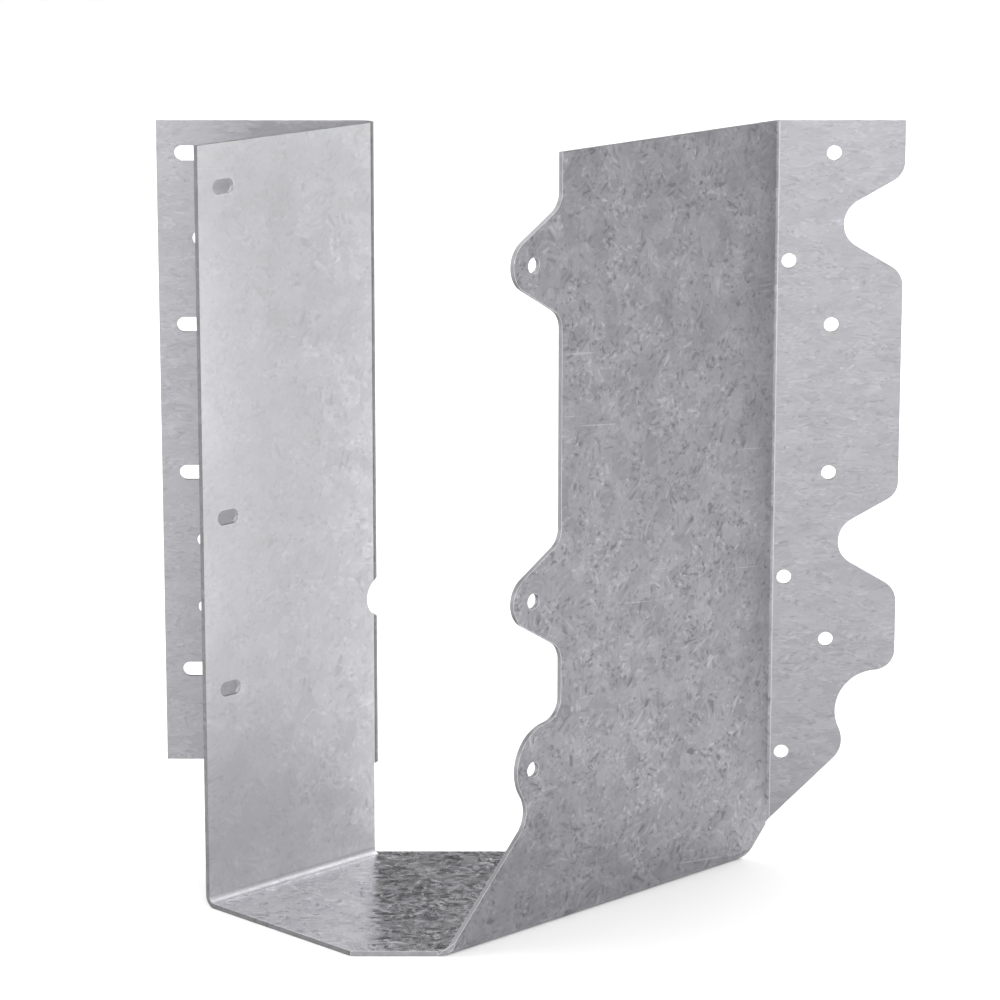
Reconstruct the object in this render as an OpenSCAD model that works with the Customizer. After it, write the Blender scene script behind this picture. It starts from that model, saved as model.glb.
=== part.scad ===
// Skewed face-mount joist hanger, folded from one sheet of galvanised steel.
//
// The joist meets the header at 45 degrees. A seat and two side walls make a
// channel along the joist. The left wall's flange is folded back on itself
// behind the wall, and the right wall's flange opens outwards, so both lie
// flat on the header.
//
// Axes: +X to the right along the header, +Y into the header, +Z up.
// The origin is on the seat's underside, on the joist's centreline, midway
// between the seat's front and rear ends.
//
// The sheet is drawn from the centre of the left fold, where the left wall
// meets its flange. From there the right fold's centre is the same distance
// along the joist as across it. Shapes along the joist use their own
// directions: u runs along the joist towards the header, from the end of the
// left wall's flat, and v runs square to it, to the left of the centreline.

/* [Sheet] */
// Thickness of the sheet
sheet_t = 1.5; // [1.2:0.1:2]
// Inside radius of every fold
fold_r = 1.9; // [1.5:0.1:2.4]

/* [Joist pocket] */
// Clear width between the two side walls
joist_w = 79; // [70:1:90]
// Height from the seat's underside to the top edges
hanger_h = 222.2; // [221:0.2:240]
// Distance along the joist from the header's face to the square-cut front
front_u = 113.6; // [108:0.2:120]

/* [Seat] */
// Distance from the header's face to the seat's front edge
seat_front = 94.75; // [88:0.25:97]
// Distance from the header's face to the seat's rear edge
seat_rear = 4.45; // [3.8:0.05:5]

/* [Left flange] */
// Distance from the joist's centreline to the left flange's outer edge
left_out = 123.9; // [121:0.1:140]
// Height of the left flange's bottom edge
left_bottom = 29.6; // [20:0.2:36]
// Radius of the relief hole across the left fold
relief_r = 6.15; // [4:0.05:7]
// Height of the relief hole's centre
relief_z = 80.6; // [60:0.1:100]

/* [Right flange] */
// Distance from the joist's centreline to the right flange's outer edge
right_out = 93.6; // [92:0.1:96]
// Radius at the root of each scallop
scallop_r = 7.85; // [7:0.05:8.5]
// Depth of each scallop from the outer edge
scallop_d = 17.45; // [16.5:0.05:18]
// Radius of the flange's rounded corners
corner_r = 6.3; // [5:0.1:7]

/* [Right wall] */
// Distance along the joist from the header's face to the wall's front edge
wall_u = 50.65; // [50:0.05:52]
// Radius of the ears on the front edge
ear_r = 7.8; // [7:0.05:8.5]
// Distance that each ear stands out from the front edge
ear_d = 19.05; // [18:0.05:20]
// Radius where each ear meets the front edge
ear_root_r = 6.4; // [5:0.1:7]

/* [Nail holes] */
// Diameter of the round nail holes in the flanges
nail_d = 4.4; // [3.6:0.1:5]
// Diameter of the round nail holes in the ears
ear_nail_d = 4.5; // [3.6:0.1:5]
// Length of the slots, end to end
slot_l = 7.9; // [6.5:0.1:8.5]
// Distance between the two columns of holes in the right flange
column_gap = 12.7; // [12:0.1:13.5]

/* [Hidden] */
$fn = 96;

r2 = sqrt(2);
fold_out = fold_r + sheet_t;        // outside radius of a fold
half_w = joist_w / 2;
big = 400;
// Curves run this far past their tangent lines, so that the two cross cleanly.
lap = 0.005;
// The folds' pieces take in this much of each wall's flat, and the walls stop
// half of it short, so that the two overlap.
stub = 0.1;

// The folds onto the header have their centres this far to either side of the
// joist's centreline, and as far apart along it as across it.
fold_c = half_w + fold_out;
// Where the joist's centreline crosses the header's face, on u
cross_u = fold_c + r2 * fold_out;

// Lengths on u
front = front_u - cross_u;          // the square-cut front, before u = 0
wall_front = wall_u - cross_u;      // the right wall's front edge, before u = 0
// Lengths along the header, from each fold's centre
left_reach = left_out - r2 * fold_c - fold_out;
right_reach = right_out - r2 * fold_c + fold_out;

// Heights of the two large ears, and of the scallops they nest in
ear_z = [hanger_h - 30.2, hanger_h - 125.4];
// Heights of the nail holes in the right flange: outer and inner columns
right_outer_z = [for (d = [9.4, 60.1, 104.5, 155.4]) hanger_h - d];
right_inner_z = [for (d = [41.1, 136.3, 190.4]) hanger_h - d];
right_outer_x = right_reach - 20.6;
// Heights of the slots and round holes in the left flange
left_slot_z = [for (d = [9.4, 60.0, 104.4, 164.6]) hanger_h - d];
left_round_z = [for (d = [34.5, 125.0, 145.5]) hanger_h - d];
left_slot_x = -left_reach + 9.1;
left_round_x = -left_reach + 12.25;
// Heights of the slots in the left wall, and their distance from its front
wall_slot_z = [for (d = [12.4, 107.5, 158.1]) hanger_h - d];
wall_slot_in = 9.4;
// The lowest ear's nail hole
low_ear_z = 47.7;
// The right wall's bottom rear corner is cut at 45 degrees, from here on u.
rear_cut = 28.8 + cross_u;
// The relief hole's centre is this far past the end of each flat.
relief_in = 3.66;
// A relief slit lets the left wall fold up in front of the seat's rear corner.
// It ends this far behind the wall.
slit = 0.6;

// A point at radius r and angle a from c
function polar(c, r, a) = [c[0] + r * cos(a), c[1] + r * sin(a)];
// A line at 30 degrees touches the far side of a circle of radius cr at x = cx
// and the near side of one of radius fr at x = fx. This is how far apart the
// two centres are in height.
function blend_dz(cx, cr, fx, fr) = (cr + fr + (fx - cx) / 2) / cos(30);

// A slot along X, centred
module slot(len, d) {
    union() {
        translate([-(len - d) / 2, -d / 2]) square([len - d, d]);
        translate([-(len - d) / 2, 0]) circle(d = d);
        translate([(len - d) / 2, 0]) circle(d = d);
    }
}

// Stands a flat outline drawn in (X, Z) up along the header, between two
// distances y0 and y1 behind a fold's centre
module along_header(y0, y1)
    translate([0, y1, 0]) rotate([90, 0, 0]) linear_extrude(y1 - y0) children();

// Turns a solid drawn in (u, v, z) into the header's directions
module along_joist() rotate([0, 0, 45]) translate([0, -fold_c, 0]) children();

// In (u, v, z), stands a flat outline drawn in (u, z) up square to the joist,
// between two distances v0 and v1 to the left of the centreline
module across_joist(v0, v1)
    translate([0, v1, 0]) rotate([90, 0, 0]) linear_extrude(v1 - v0) children();

// Places a solid drawn from the right fold's centre
module at_right_fold()
    along_joist() translate([2 * fold_c, -fold_c, 0]) rotate([0, 0, -45]) children();

// ---- the seat, walls and bottom folds ----

// The inside or outside of the channel's section, in (v, z), with rounded
// bottom corners
module trough(w, z0, r)
    difference() {
        translate([-w, z0]) square([2 * w, big]);
        for (s = [-1, 1])
            difference() {
                translate([s > 0 ? w - r : -w - 5, z0 - 5]) square([r + 5, r + 5]);
                translate([s * (w - r), z0 + r]) circle(r);
            }
    }

// The whole channel between two distances along the joist
module channel(u0, u1)
    translate([u0, 0, 0]) rotate([90, 0, 90])
        linear_extrude(u1 - u0)
            intersection() {
                difference() {
                    trough(half_w + sheet_t, 0, fold_out);
                    trough(half_w, sheet_t, fold_r);
                }
                translate([-big, -1]) square([2 * big, hanger_h + 1]);
            }

// The seat's outline in (u, v). At the left rear the flat seat runs out in a
// blunt tab behind the relief slit. At the right rear a short return meets the
// fold.
module seat_outline() {
    fold_v = half_w - fold_r;
    wall_v = half_w + sheet_t;
    // where the rear edge, parallel to the header, is at v
    function rear(v) = cross_u - seat_rear * r2 - v;
    end = rear_cut - 0.2;
    jog = (rear(-fold_v) - end) / 2;
    tab_v = min(wall_v, rear(slit + 0.5));
    polygon([
        [-front, fold_v],
        [-front, -fold_v],
        [end, -fold_v],
        [end + jog, -fold_v + jog],
        [rear(tab_v), tab_v],
        [slit, tab_v],
        [slit, fold_v]
    ]);
}

module seat() linear_extrude(sheet_t) seat_outline();

// The seat's front edge, with the front end of the right wall's fold, is cut
// parallel to the header.
module front_cut()
    translate([-big, fold_out - seat_front - big, -1]) cube([2 * big, big, big]);

// ---- the left wall and its flange ----

module left_wall()
    intersection() {
        channel(-front, -stub / 2);
        translate([-big, half_w - fold_r - 0.6, -1]) cube([2 * big, 20, big]);
    }

// In plan, what lies inside the left fold and between its two flats, out to
// radius r from the fold's centre
module inside_left_fold(r)
    difference() {
        intersection() {
            translate([-big, r - big]) square([2 * big, big]);
            rotate(45) translate([-big, -r]) square([2 * big, big]);
        }
        difference() {
            polygon([[0, 0], [0, 20], [40, 20], [40, -20], [20, -20]]);
            circle(r + lap);
        }
    }

module left_flange()
    translate([0, 0, left_bottom]) linear_extrude(hanger_h - left_bottom)
        difference() {
            intersection() {
                inside_left_fold(fold_out);
                translate([-left_reach, -20]) square([left_reach + 20, 40]);
            }
            inside_left_fold(fold_r);
            rotate(45) translate([-60, -fold_out - 5])
                square([60 - stub, fold_out + 4]);
        }

// The relief hole is punched across the fold before it is made. Folded, its
// edge is a circle on the wall, a circle on the flange and an arch over the
// fold. Two round cutters, each square to its own flat, share that arch.
module left_relief()
    intersection() {
        along_joist() across_joist(half_w - 3, half_w + 12)
            translate([relief_in, relief_z]) circle(relief_r);
        along_header(-12, 6) translate([relief_in, relief_z]) circle(relief_r);
    }

// ---- the right wall and its flange ----

// The right wall's outline in (u, z), with its ears on the front edge
module right_wall_outline() {
    e = -wall_front;
    cx = e - ear_d + ear_r;
    dz = blend_dz(cx, ear_r, e - ear_root_r, ear_root_r);
    // the lowest ear: a root, the ear's arc and the waist under it all touch
    root = [e - 6.5, 66.8];
    low_r = 12.75;
    low = polar(root, 6.5 + low_r, -84.8);
    waist_r = 8.45;
    waist = polar(low, low_r + waist_r, -145.9);
    waist_t = polar(waist, waist_r, -45);
    difference() {
        union() {
            polygon(concat(
                [[e, hanger_h + 5]],
                [for (z = ear_z) each [
                    [e, z + dz],
                    polar([e - ear_root_r, z + dz], ear_root_r, -60),
                    polar([cx, z], ear_r, 120),
                    polar([cx, z], ear_r, -120),
                    polar([e - ear_root_r, z - dz], ear_root_r, 60),
                    [e, z - dz]
                ]],
                [
                    root + [6.5, 0],
                    polar(root, 6.5, -84.8),
                    polar(low, low_r, 180),
                    polar(low, low_r, -145.9),
                    polar(waist, waist_r, 0),
                    waist_t,
                    waist_t - [waist_t[1] + 5, waist_t[1] + 5],
                    [rear_cut - 5, -5],
                    [rear_cut + hanger_h + 5, hanger_h + 5]
                ]
            ));
            for (z = ear_z) translate([cx, z]) circle(ear_r + lap);
            translate(low) circle(low_r + lap);
        }
        for (z = ear_z, s = [-1, 1])
            translate([e - ear_root_r, z + s * dz]) circle(ear_root_r + lap);
        translate(root) circle(6.5 + lap);
        translate(waist) circle(waist_r + lap);
        for (z = ear_z) translate([cx, z]) circle(d = ear_nail_d);
        translate([cx, low_ear_z]) circle(d = ear_nail_d);
    }
}

module right_wall()
    intersection() {
        channel(-150, 2 * fold_c - stub / 2);
        across_joist(-half_w - 20, -half_w + fold_r + 0.6) right_wall_outline();
    }

// The right flange's outline in (X, Z) from its fold's centre, with its
// scallops on the outer edge
module right_flange_outline() {
    e = right_reach;
    cx = e - scallop_d + scallop_r;
    dz = blend_dz(cx, scallop_r, e - corner_r, corner_r);
    // under the third tab: a corner, a scallop and the rounded tip all touch
    corner = [e - 6.3, 63.6];
    low_r = 12.65;
    low = polar(corner, 6.3 + low_r, -85.5);
    tip_r = 8.2;
    tip = polar(low, low_r + tip_r, -154.3);
    tip_t = polar(tip, tip_r, -45);
    difference() {
        union() {
            polygon(concat(
                [[-10, hanger_h + 5], [e, hanger_h + 5]],
                [for (z = ear_z) each [
                    [e, z + dz],
                    polar([e - corner_r, z + dz], corner_r, -60),
                    polar([cx, z], scallop_r, 120),
                    polar([cx, z], scallop_r, -120),
                    polar([e - corner_r, z - dz], corner_r, 60),
                    [e, z - dz]
                ]],
                [
                    corner + [6.3, 0],
                    polar(corner, 6.3, -85.5),
                    polar(low, low_r, 180),
                    polar(tip, tip_r, 25.7),
                    tip_t,
                    [-10, tip_t[1] - tip_t[0] - 10]
                ]
            ));
            for (z = ear_z, s = [-1, 1])
                translate([e - corner_r, z + s * dz]) circle(corner_r + lap);
            translate(corner) circle(6.3 + lap);
            translate(tip) circle(tip_r + lap);
        }
        for (z = ear_z) translate([cx, z]) circle(scallop_r + lap);
        translate(low) circle(low_r + lap);
        for (z = right_outer_z) translate([right_outer_x, z]) circle(d = nail_d);
        for (z = right_inner_z)
            translate([right_outer_x - column_gap, z]) circle(d = nail_d);
    }
}

// In plan, what lies inside the right fold and between its two flats, out to
// radius r from the fold's centre
module inside_right_fold(r)
    difference() {
        intersection() {
            translate([-big, r - big]) square([2 * big, big]);
            rotate(45) translate([-big, r - big]) square([2 * big, big]);
        }
        difference() {
            polygon([[0, 0], [0, 20], [-20, 20]]);
            circle(r + lap);
        }
    }

// What is cut away under the fold, along a slope that joins the wall's cut to
// the flange's
module under_right_fold() {
    mid_r = fold_r + sheet_t / 2;
    z_wall = 2 * fold_c - rear_cut + lap;
    rise = mid_r * PI / 4;
    half = mid_r * sin(22.5);
    intersection() {
        rotate([0, 0, 22.5]) translate([0, 20, 0]) rotate([90, 0, 0])
            linear_extrude(40)
                polygon([
                    [-20, -20], [20, -20],
                    [20, z_wall + rise + (20 - half) * rise / (2 * half)],
                    [-20, z_wall - (20 - half) * rise / (2 * half)]
                ]);
        translate([stub / 2 - 30, -20, -30]) cube([30, 40, 60]);
    }
}

module right_flange()
    difference() {
        intersection() {
            linear_extrude(hanger_h)
                difference() {
                    intersection() {
                        inside_right_fold(fold_out);
                        translate([-20, -20]) square([right_reach + 20, 40]);
                    }
                    inside_right_fold(fold_r);
                    rotate(45) translate([-60, 0]) square([60 - stub, fold_out + 5]);
                }
            along_header(-10, 6) right_flange_outline();
        }
        under_right_fold();
    }

// ---- the folded sheet ----

// From the left fold's centre to the point on the joist's centreline midway
// between the seat's ends, on u and along the header's own directions
mid_u = (cross_u - seat_rear * r2 - front) / 2;
mid = [(mid_u + fold_c) / r2, (mid_u - fold_c) / r2];

module hanger()
    color([0.72, 0.73, 0.75])
        translate([-mid[0], -mid[1], 0])
            difference() {
                union() {
                    along_joist() {
                        seat();
                        left_wall();
                        right_wall();
                    }
                    left_flange();
                    at_right_fold() right_flange();
                }
                front_cut();
                left_relief();
                // slots in the left wall, along the joist
                along_joist() across_joist(half_w - 5, half_w + 5)
                    for (z = wall_slot_z)
                        translate([-front + wall_slot_in, z]) slot(slot_l, nail_d);
                // slots and round holes in the left flange
                along_header(0, 6) {
                    for (z = left_slot_z)
                        translate([left_slot_x, z]) slot(slot_l, nail_d);
                    for (z = left_round_z)
                        translate([left_round_x, z]) circle(d = nail_d);
                }
            }

hanger();
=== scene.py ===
"""Looks for the skewed joist hanger: one folded, galvanised steel sheet."""

import math

import bmesh
import bpy
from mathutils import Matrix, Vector


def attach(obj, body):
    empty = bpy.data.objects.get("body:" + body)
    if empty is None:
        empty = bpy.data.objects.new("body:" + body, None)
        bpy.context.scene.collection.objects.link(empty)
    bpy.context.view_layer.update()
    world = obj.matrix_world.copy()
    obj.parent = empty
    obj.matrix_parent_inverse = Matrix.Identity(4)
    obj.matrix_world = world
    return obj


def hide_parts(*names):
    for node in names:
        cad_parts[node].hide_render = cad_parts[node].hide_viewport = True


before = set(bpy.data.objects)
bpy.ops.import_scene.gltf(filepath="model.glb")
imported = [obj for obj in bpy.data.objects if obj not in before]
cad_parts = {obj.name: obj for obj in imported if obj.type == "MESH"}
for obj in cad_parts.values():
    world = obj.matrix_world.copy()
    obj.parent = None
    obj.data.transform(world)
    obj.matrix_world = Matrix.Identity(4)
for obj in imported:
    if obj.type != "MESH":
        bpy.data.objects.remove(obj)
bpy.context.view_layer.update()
scene = bpy.context.scene

# ---------------------------------------------------------------- the sheet
# Lengths in metres, in the row frame. The joist's centreline meets the
# header's face at CROSS, and the walls run at 45 degrees to it.
CROSS = 0.0423887
T = 0.0015
FOLD_IN, FOLD_OUT = 0.0019, 0.0034
HALF = 0.0395
ARRIS = 0.00028
S = math.sqrt(0.5)


def joist_frame(p):
    """(u along the joist, n to its right, z) of a point."""
    x, y = p.x - CROSS, p.y - CROSS
    return (x + y) * S, (x - y) * S, p.z


def on(value, *marks):
    return any(abs(value - m) < 3e-5 for m in marks)


# groups of faces: each carries the same zinc in its own grey, painted light and shade,
# with painted highlight and dark lines along some folds and arrises
(
    OUTER, FLANGE, INNER, SEAT, BACK, BEND, CREASE_GLINT, ROLL_SHADE, CUT, TOP, ARRIS_GLINT, LIP_GLINT, DARK_ARRIS
) = range(13)


def side(face):
    """The finish of a face, by where it lies on the sheet.

    The outer surface faces away from the joist, and the flanges' fronts carry
    it on. The inner one faces the joist. Each group takes the same zinc in its
    own grey, painted light and shade: darker on the outer faces and flange
    fronts, lighter on the inner faces and the seat. The right fold's crease
    gets a lighter grey, a painted highlight line, and part of the left fold's
    outer round a near-black one, painted shade.
    """
    c, n = face.calc_center_median(), face.normal
    u, w, z = joist_frame(c)
    nu, nw = (n.x + n.y) * S, (n.x - n.y) * S
    y = c.y - CROSS
    if abs(n.y) > 0.999 and on(y, 0, -T):
        return FLANGE
    if abs(nw) > 0.999 and on(abs(w), HALF, HALF + T):
        if nw * w > 0:
            return OUTER if w > 0 else BACK
        return INNER if w < 0 else BACK
    if abs(n.z) > 0.999 and on(z, 0, T):
        return OUTER if n.z < 0 else SEAT
    # the upright folds, about their centres
    h = HALF + FOLD_OUT
    for cx in (-h / S - FOLD_OUT, h / S - FOLD_OUT):
        d = Vector((c.x - CROSS - cx, y + FOLD_OUT, 0))
        if abs(n.z) < 0.05 and FOLD_IN * 0.93 < d.length < FOLD_OUT * 1.03:
            if abs(d.normalized().dot(n)) > 0.97:
                if d.length > FOLD_IN * 1.2:
                    # outer rounds: the right one takes the rear grey; on the left one the
                    # part facing +x gets a near-black grey, painted shade
                    if cx > 0:
                        return BACK
                    return ROLL_SHADE if n.x > 0.5 else FLANGE
                # the right fold's crease, 4 to 15 degrees round, gets a lighter grey: a
                # painted highlight line
                turn = math.degrees(math.atan2(n.x, -n.y))
                return CREASE_GLINT if cx > 0 and 4 < turn < 15 else OUTER
    # the bottom folds
    d = Vector((abs(w) - (HALF - FOLD_IN), z - FOLD_OUT))
    if abs(nu) < 0.05 and FOLD_IN * 0.93 < d.length < FOLD_OUT * 1.03:
        if abs(d.normalized().dot(Vector((nw if w > 0 else -nw, n.z)))) > 0.97:
            return BEND if d.length < FOLD_IN * 1.2 else OUTER
    # the flanges' top cut faces get a near-white grey: painted light from above
    if n.z > 0.99 and z > 0.2 and y > -T * 1.2:
        return TOP
    # the left wall's front cut face gets the same near-black grey, a painted dark line
    if w < 0 and u < -0.1134 and z > FOLD_OUT:
        return ROLL_SHADE
    return CUT


def arris(face):
    """The finish of an arris: a near-white painted highlight line, or a near-black painted
    dark line.
    """
    c = face.calc_center_median()
    u, w, z = joist_frame(c)
    y = c.y - CROSS
    if y > -T * 1.2:
        # the flanges' top arrises share that painted light
        return TOP if z > 0.221 else CUT
    # near-black, a painted dark line: the walls' top arrises and the left wall's front end
    if z > 0.221 or (w < 0 and u < -0.1125 and z > 0.003):
        return DARK_ARRIS
    # along the bottom: a painted dark line at the rear and underneath, a near-white
    # painted highlight at the front
    if z < 0.003:
        return DARK_ARRIS if y > -0.02 or z < 0.0007 else LIP_GLINT
    # every other arris: a near-white painted highlight line
    return ARRIS_GLINT


def make_sheet():
    """The CAD sheet's mesh with its flats joined up and a small round on every arris."""
    bm = bmesh.new()
    bm.from_mesh(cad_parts["hanger"].data)
    bmesh.ops.remove_doubles(bm, verts=bm.verts, dist=2e-6)
    bmesh.ops.dissolve_degenerate(bm, edges=bm.edges, dist=2e-6)
    bmesh.ops.dissolve_limit(
        bm, angle_limit=math.radians(0.8), verts=bm.verts, edges=bm.edges
    )
    bm.normal_update()
    for f in bm.faces:
        f.material_index = side(f)
        f.smooth = True
    sharp = [
        e
        for e in bm.edges
        if len(e.link_faces) == 2 and e.calc_face_angle(0) > math.radians(28)
    ]
    bmesh.ops.bevel(
        bm,
        geom=sharp,
        offset=ARRIS,
        offset_type="OFFSET",
        segments=2,
        profile=0.5,
        affect="EDGES",
        clamp_overlap=True,
        material=ARRIS_GLINT,
        loop_slide=True,
    )
    for f in bm.faces:
        f.smooth = True
        # each new arris face gets a painted highlight or a painted dark line
        if f.material_index == ARRIS_GLINT:
            f.material_index = arris(f)
    mesh = bpy.data.meshes.new("folded_sheet")
    bm.to_mesh(mesh)
    bm.free()
    piece = bpy.data.objects.new("folded_sheet", mesh)
    scene.collection.objects.link(piece)
    weighted = piece.modifiers.new("flat_faces", "WEIGHTED_NORMAL")
    weighted.mode = "FACE_AREA"
    weighted.weight = 80
    weighted.keep_sharp = False
    return piece


sheet = make_sheet()
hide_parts("hanger")
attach(sheet, "root")


# ---------------------------------------------------------------- materials
class Nodes:
    """A short way to write a material's nodes."""

    def __init__(self, name):
        self.material = bpy.data.materials.new(name)
        self.material.use_nodes = True
        self.tree = self.material.node_tree
        self.shader = self.tree.nodes["Principled BSDF"]

    def add(self, kind, **sockets):
        node = self.tree.nodes.new(kind)
        for key, value in sockets.items():
            if key.startswith("_"):
                setattr(node, key[1:], value)
        for key, value in sockets.items():
            if not key.startswith("_"):
                self.set(node, key.replace("_", " "), value)
        return node

    def set(self, node, socket, value):
        target = node.inputs[int(socket)] if socket.isdigit() else node.inputs[socket]
        if isinstance(value, bpy.types.NodeSocket):
            self.tree.links.new(value, target)
        else:
            target.default_value = value

    def math(self, op, a, b=0.0, clamp=False):
        node = self.add("ShaderNodeMath", _operation=op, _use_clamp=clamp)
        self.set(node, "0", a)
        self.set(node, "1", b)
        return node.outputs[0]

    def ramp(self, value, lo, hi, out_lo, out_hi, smooth=True):
        node = self.add(
            "ShaderNodeMapRange",
            _interpolation_type="SMOOTHSTEP" if smooth else "LINEAR",
            _clamp=True,
        )
        for i, v in enumerate((value, lo, hi, out_lo, out_hi)):
            self.set(node, str(i), v)
        return node.outputs[0]

    def mix(self, factor, a, b):
        node = self.add("ShaderNodeMix", _data_type="RGBA")
        self.set(node, "0", factor)
        self.set(node, "6", a)
        self.set(node, "7", b)
        return node.outputs[2]


def galvanised(name, dark, light, smooth, rough, lean_by, fine=920.0, flat=1.0):
    m = Nodes(name)
    placed = m.add("ShaderNodeMapping")
    m.set(placed, "0", m.add("ShaderNodeTexCoord").outputs["Object"])
    m.set(placed, "Scale", (1.0, 1.0, flat))
    where = placed.outputs[0]
    # the zinc grows as clusters of leafy needles, each cluster turned its own way
    ragged = m.add("ShaderNodeTexNoise", Vector=where, Scale=420.0, Detail=1.0)
    shift = m.add("ShaderNodeVectorMath", _operation="SCALE")
    m.set(shift, "0", ragged.outputs["Color"])
    m.set(shift, "Scale", 0.0045)
    moved = m.add("ShaderNodeVectorMath", _operation="ADD")
    m.set(moved, "0", where)
    m.set(moved, "1", shift.outputs[0])
    clusters = m.add("ShaderNodeTexVoronoi", Vector=moved.outputs[0], Scale=240.0)
    turn = m.add("ShaderNodeVectorMath", _operation="SCALE")
    m.set(turn, "0", clusters.outputs["Color"])
    m.set(turn, "Scale", 6.283)
    turned = m.add(
        "ShaderNodeVectorRotate", _rotation_type="EULER_XYZ", Vector=where
    )
    m.set(turned, "Rotation", turn.outputs[0])
    drawn = m.add("ShaderNodeVectorMath", _operation="MULTIPLY")
    m.set(drawn, "0", turned.outputs[0])
    m.set(drawn, "1", (1.0, 1.0, 0.22))
    needles = m.add(
        "ShaderNodeTexNoise", Vector=drawn.outputs[0], Scale=fine, Detail=1.0
    )
    cloud = m.add("ShaderNodeTexNoise", Vector=where, Scale=75.0, Detail=3.0)
    split = m.add("ShaderNodeSeparateColor", Color=clusters.outputs["Color"])
    # bright and dark slivers, with plain metal between them, thick in some
    # places and thin in others
    bright = m.ramp(needles.outputs[0], 0.54, 0.72, 0.0, 0.85)
    shade = m.ramp(needles.outputs[0], 0.45, 0.31, 0.0, 0.9)
    leaf = m.math("SUBTRACT", bright, shade)
    thick = m.ramp(
        m.math(
            "ADD", m.math("MULTIPLY", split.outputs[1], 0.4), cloud.outputs["Color"]
        ),
        0.45,
        0.95,
        0.25,
        1.0,
    )
    tone = m.math("ADD", m.math("MULTIPLY", m.math("MULTIPLY", leaf, thick), 0.5), 0.49)
    tone = m.math(
        "ADD", tone, m.math("MULTIPLY", m.math("SUBTRACT", split.outputs[0], 0.5), 0.26)
    )
    tone = m.math(
        "ADD", tone, m.math("MULTIPLY", m.math("SUBTRACT", cloud.outputs[0], 0.5), 0.5)
    )
    # a few long fine scratches from handling
    rubbed = m.add("ShaderNodeVectorRotate", _rotation_type="EULER_XYZ", Vector=where)
    m.set(rubbed, "Rotation", (0.16, 0.0, 0.0))
    long = m.add("ShaderNodeVectorMath", _operation="MULTIPLY")
    m.set(long, "0", rubbed.outputs[0])
    m.set(long, "1", (0.03, 0.03, 1.0))
    scratch = m.add("ShaderNodeTexNoise", Vector=long.outputs[0], Scale=1100.0, Detail=0.0)
    tone = m.math(
        "ADD", tone, m.ramp(scratch.outputs[0], 0.82, 0.88, 0.0, 0.45)
    )
    m.set(m.shader, "Base Color", m.mix(m.math("ADD", tone, 0.0, True), dark, light))
    m.set(m.shader, "Roughness", m.ramp(leaf, -1.0, 1.0, rough, smooth, False))
    m.shader.inputs["Metallic"].default_value = 1.0
    # each sliver's facet leans its own way, and each cluster a little too
    lean = m.add("ShaderNodeVectorMath", _operation="SUBTRACT")
    m.set(lean, "0", needles.outputs["Color"])
    m.set(lean, "1", (0.5, 0.5, 0.5))
    little = m.add("ShaderNodeVectorMath", _operation="SCALE")
    m.set(little, "0", lean.outputs[0])
    m.set(little, "Scale", m.math("MULTIPLY", thick, lean_by))
    tip = m.add("ShaderNodeVectorMath", _operation="SUBTRACT")
    m.set(tip, "0", clusters.outputs["Color"])
    m.set(tip, "1", (0.5, 0.5, 0.5))
    slight = m.add("ShaderNodeVectorMath", _operation="SCALE")
    m.set(slight, "0", tip.outputs[0])
    m.set(slight, "Scale", 0.03)
    normal = m.add("ShaderNodeVectorMath", _operation="ADD")
    m.set(normal, "0", m.add("ShaderNodeNewGeometry").outputs["Normal"])
    m.set(normal, "1", little.outputs[0])
    both = m.add("ShaderNodeVectorMath", _operation="ADD")
    m.set(both, "0", normal.outputs[0])
    m.set(both, "1", slight.outputs[0])
    unit = m.add("ShaderNodeVectorMath", _operation="NORMALIZE")
    m.set(unit, "0", both.outputs[0])
    m.set(m.shader, "Normal", unit.outputs[0])
    return m.material


def sheared(name, dark, light, metal):
    m = Nodes(name)
    where = m.add("ShaderNodeTexCoord").outputs["Object"]
    cloud = m.add("ShaderNodeTexNoise", Vector=where, Scale=420.0, Detail=4.0)
    m.set(m.shader, "Base Color", m.mix(cloud.outputs[0], dark, light))
    m.set(m.shader, "Roughness", m.ramp(cloud.outputs[0], 0.3, 0.7, 0.36, 0.52))
    m.shader.inputs["Metallic"].default_value = metal
    bump = m.add(
        "ShaderNodeBump", Strength=0.3, Distance=0.0002, Height=cloud.outputs[0]
    )
    m.set(m.shader, "Normal", bump.outputs[0])
    return m.material


def grey(v, blue=1.03, green=0.988):
    """The zinc's slightly cool grey."""
    return (v, v * green, v * blue, 1)


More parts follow.
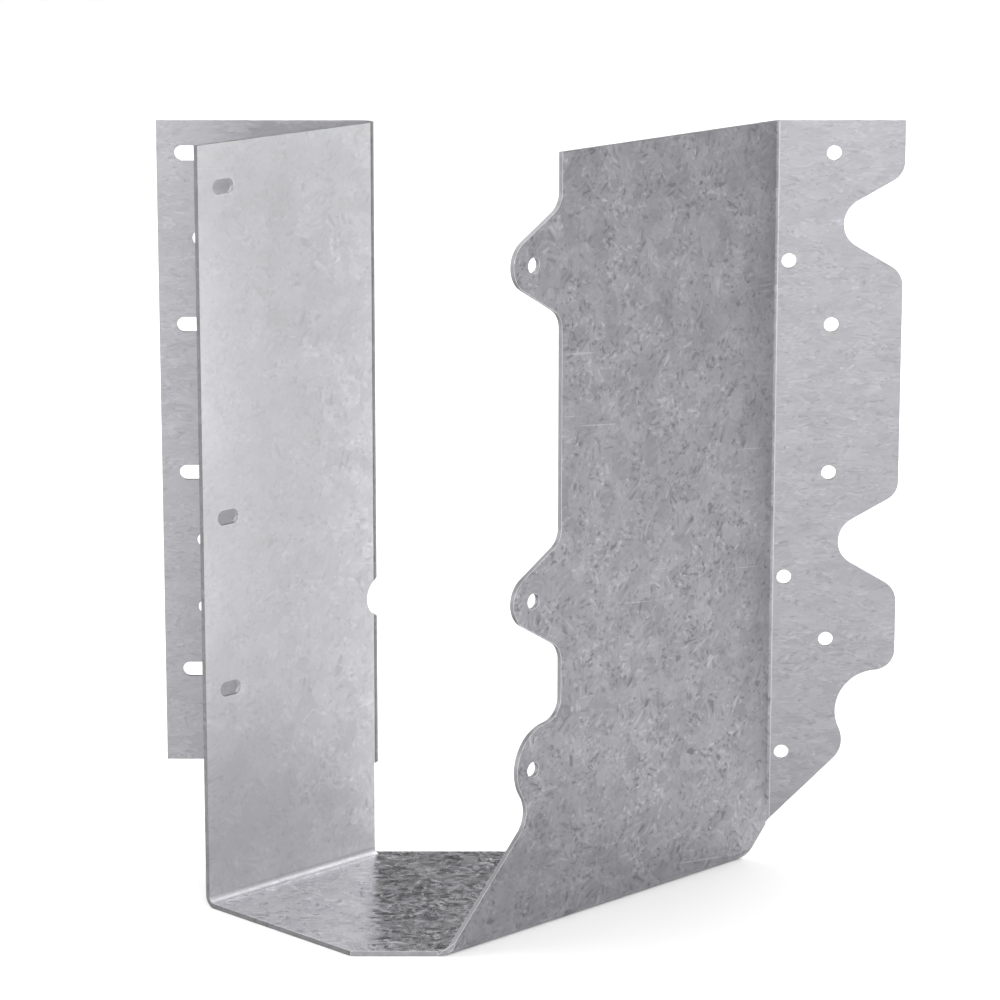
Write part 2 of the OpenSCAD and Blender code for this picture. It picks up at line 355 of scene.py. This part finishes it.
# The same zinc in a different grey for each group of faces, painted light and shade:
# darkest on the outer faces and flange fronts, mid on the rear faces and the bottom folds'
# inside rounds, lightest on the inner faces and the seat. The crease's lighter grey is a
# painted highlight line and the roll's near-black one painted shade; the near-white top
# edge and arris finishes are painted highlights, the near-black arris finish a painted
# dark line.
for zinc in (
    galvanised("zinc_outer_painted_shade", grey(0.16, 1.05), grey(0.365, 1.05), 0.27, 0.36, 0.32, 760.0),
    galvanised(
        "zinc_flange_painted_shade", grey(0.235, 1.05), grey(0.345, 1.05), 0.30, 0.38, 0.26, 640.0, 1.9
    ),
    galvanised(
        "zinc_inner", grey(0.60, 1.03, 1), grey(0.80, 1.03, 1), 0.28, 0.35, 0.15, 700.0
    ),
    galvanised(
        "zinc_seat_painted_light", grey(0.58, 1.08), grey(1.0, 1.0, 0.99), 0.20, 0.33, 0.46, 520.0
    ),
    galvanised(
        "zinc_rear", grey(0.46, 1.01, 1), grey(0.64, 1.01, 1), 0.38, 0.45, 0.12
    ),
    galvanised("zinc_bend", grey(0.44), grey(0.58), 0.44, 0.50, 0.10),
    galvanised("zinc_crease_painted_highlight", grey(0.38), grey(0.48), 0.30, 0.36, 0.06),
    galvanised("zinc_roll_painted_shade", grey(0.14), grey(0.24), 0.34, 0.42, 0.20),
    sheared("sheared_edge", grey(0.20), grey(0.33), 1.0),
    sheared("sheared_top_edge_painted_light", grey(0.84), grey(0.92), 0.0),
    sheared("arris_painted_highlight", grey(0.96, 1.01), grey(0.99, 1.01), 0.0),
    sheared("lip_painted_highlight", grey(0.95, 1.01), grey(0.98, 1.01), 0.0),
    sheared("arris_painted_shade", grey(0.06), grey(0.11), 1.0),
):
    sheet.data.materials.append(zinc)

# ---------------------------------------------------------------- the studio
scene.view_settings.view_transform = "Standard"

floor_mesh = bpy.data.meshes.new("floor")
floor_mesh.from_pydata(
    [(-6, -6, 0), (6, -6, 0), (6, 6, 0), (-6, 6, 0)], [], [(0, 1, 2, 3)]
)
floor = bpy.data.objects.new("floor", floor_mesh)
scene.collection.objects.link(floor)
pale = Nodes("pale_floor")
pale.shader.inputs["Base Color"].default_value = (0.96, 0.96, 0.96, 1)
pale.shader.inputs["Roughness"].default_value = 0.9
pale.shader.inputs["Specular IOR Level"].default_value = 0.1
floor_mesh.materials.append(pale.material)

world = bpy.data.worlds.new("studio")
scene.world = world
world.use_nodes = True
sky = Nodes.__new__(Nodes)
sky.tree = world.node_tree
way = sky.add("ShaderNodeTexCoord").outputs["Generated"]
up = sky.add("ShaderNodeSeparateXYZ")
sky.set(up, "0", way)


def glow(direction, strength):
    """A soft wash of light, low on one side."""
    side = sky.add("ShaderNodeVectorMath", _operation="DOT_PRODUCT")
    sky.set(side, "0", way)
    sky.set(side, "1", direction)
    return sky.ramp(side.outputs["Value"], 0.0, 0.9, 0.0, strength)


low = sky.ramp(up.outputs[2], 0.30, 0.50, 1.0, 0.0)
wash = glow((0, -1, 0), 2.10)
wash = sky.math("ADD", wash, glow((-1, 0, 0), 2.10))
wash = sky.math("ADD", wash, glow((1, 0, 0), 1.09))
wash = sky.math("MULTIPLY", wash, low)
middle = sky.math(
    "MULTIPLY",
    sky.ramp(up.outputs[2], 0.30, 0.50, 0.0, 1.0),
    sky.ramp(up.outputs[2], 0.70, 0.92, 0.78, 0.0),
)
middle = sky.math("MULTIPLY", middle, sky.math("SUBTRACT", 1.0, glow((0, 1, 0), 0.8)))
wash = sky.math("ADD", wash, middle)
studio = sky.tree.nodes["Background"]
studio.inputs["Color"].default_value = (1, 1, 1, 1)
sky.set(studio, "Strength", wash)
# seen directly, past the floor's far edge, the room is plain and pale
plain = sky.add("ShaderNodeBackground", Color=(0.94, 0.94, 0.94, 1), Strength=1.0)
seen = sky.add("ShaderNodeMixShader")
sky.set(seen, "0", sky.add("ShaderNodeLightPath").outputs["Is Camera Ray"])
sky.set(seen, "1", studio.outputs[0])
sky.set(seen, "2", plain.outputs[0])
sky.set(sky.tree.nodes["World Output"], "0", seen.outputs[0])


def area(name, at, target, size, watts):
    light = bpy.data.lights.new(name, "AREA")
    light.shape = "RECTANGLE"
    light.size, light.size_y = size
    light.energy = watts
    lamp = bpy.data.objects.new(name, light)
    scene.collection.objects.link(lamp)
    lamp.location = at
    lamp.visible_camera = False
    lamp.rotation_euler = (Vector(target) - Vector(at)).to_track_quat("-Z", "Y").to_euler()
    return lamp


area("back_left", (-1.3, 1.2, 1.5), (0, 0.2, 0), (2.0, 2.0), 24.0)
area("pool", (0.05, 0.55, 1.0), (0.05, 0.45, 0), (0.6, 0.6), 3.0)
area("back", (0, 1.7, 1.3), (0, 0.3, 0), (1.4, 1.0), 1.7)
area("back_right", (1.3, 1.3, 1.5), (0, 0.2, 0), (2.2, 2.2), 33.0)
area("front", (0, -1.7, 1.0), (0, -1.0, 0), (1.2, 0.8), 22.5)

camera = bpy.data.objects.new("camera", bpy.data.cameras.new("camera"))
scene.collection.objects.link(camera)
camera.data.sensor_width = 36.0
camera.data.lens = 148.073
camera.location = (0.0182849, -1.1447614, 0.3848184)
camera.rotation_euler = (math.radians(76.9228), 0, 0)
camera.data.clip_start, camera.data.clip_end = 0.01, 100
scene.camera = camera
